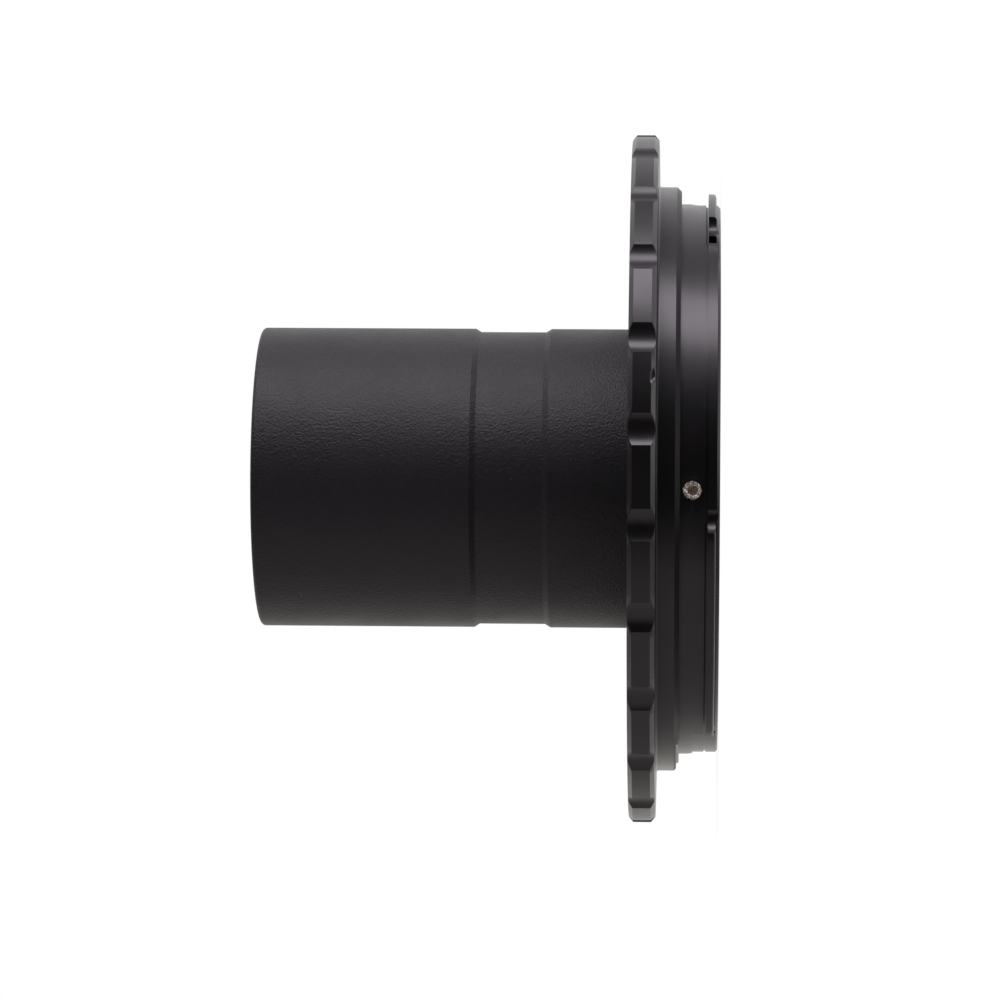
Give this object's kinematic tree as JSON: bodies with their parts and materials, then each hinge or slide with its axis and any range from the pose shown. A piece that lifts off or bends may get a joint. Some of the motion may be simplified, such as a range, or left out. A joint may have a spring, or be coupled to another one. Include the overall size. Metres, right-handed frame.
{
  "type": "microscope adapter",
  "caption": "Camera bayonet ring with a scalloped grip flange, a rotatable inner thread ring and a screw-in eyepiece tube.",
  "frame": {"origin": "centre of the bayonet barrel's end face, on which the part stands", "axes": "+Z along the tube's axis, from the bayonet end to the tube's free end; +X is the direction of the picture's top, through the middle of a grip tooth"},
  "size_m": [0.0688, 0.0688, 0.0458],
  "materials": {
    "satin_black_ring": "satin black anodised, finely turned",
    "black_thread_ring": "matte black anodised",
    "matte_black_tube": "bead-blasted, matte black anodised",
    "steel_screw": "bright steel"
  },
  "bodies": {
    "bayonet": {"bayonet_ring": "satin_black_ring"},
    "inner_ring": {"thread_ring": "black_thread_ring"},
    "tube": {"eyepiece_tube": "matte_black_tube"},
    "screw_1": {"set_screw_1": "steel_screw"},
    "screw_2": {"set_screw_2": "steel_screw"},
    "screw_3": {"set_screw_3": "steel_screw"}
  },
  "joints": [
    {"name": "ring_align", "type": "hinge", "parent": "bayonet", "child": "inner_ring", "pos_m": [0, 0, 0.005], "axis": [0, 0, 1], "continuous": true},
    {"name": "tube_unscrew", "type": "slide", "parent": "inner_ring", "child": "tube", "axis": [0, 0, 1], "range_m": [0, 0.0045]},
    {"name": "screw_1_out", "type": "slide", "parent": "bayonet", "child": "screw_1", "axis": [-0.0436, -0.999, 0], "range_m": [0, 0.0011]},
    {"name": "screw_2_out", "type": "slide", "parent": "bayonet", "child": "screw_2", "axis": [0.887, 0.4617, 0], "range_m": [0, 0.0011]},
    {"name": "screw_3_out", "type": "slide", "parent": "bayonet", "child": "screw_3", "axis": [-0.8434, 0.5373, 0], "range_m": [0, 0.0011]}
  ]
}
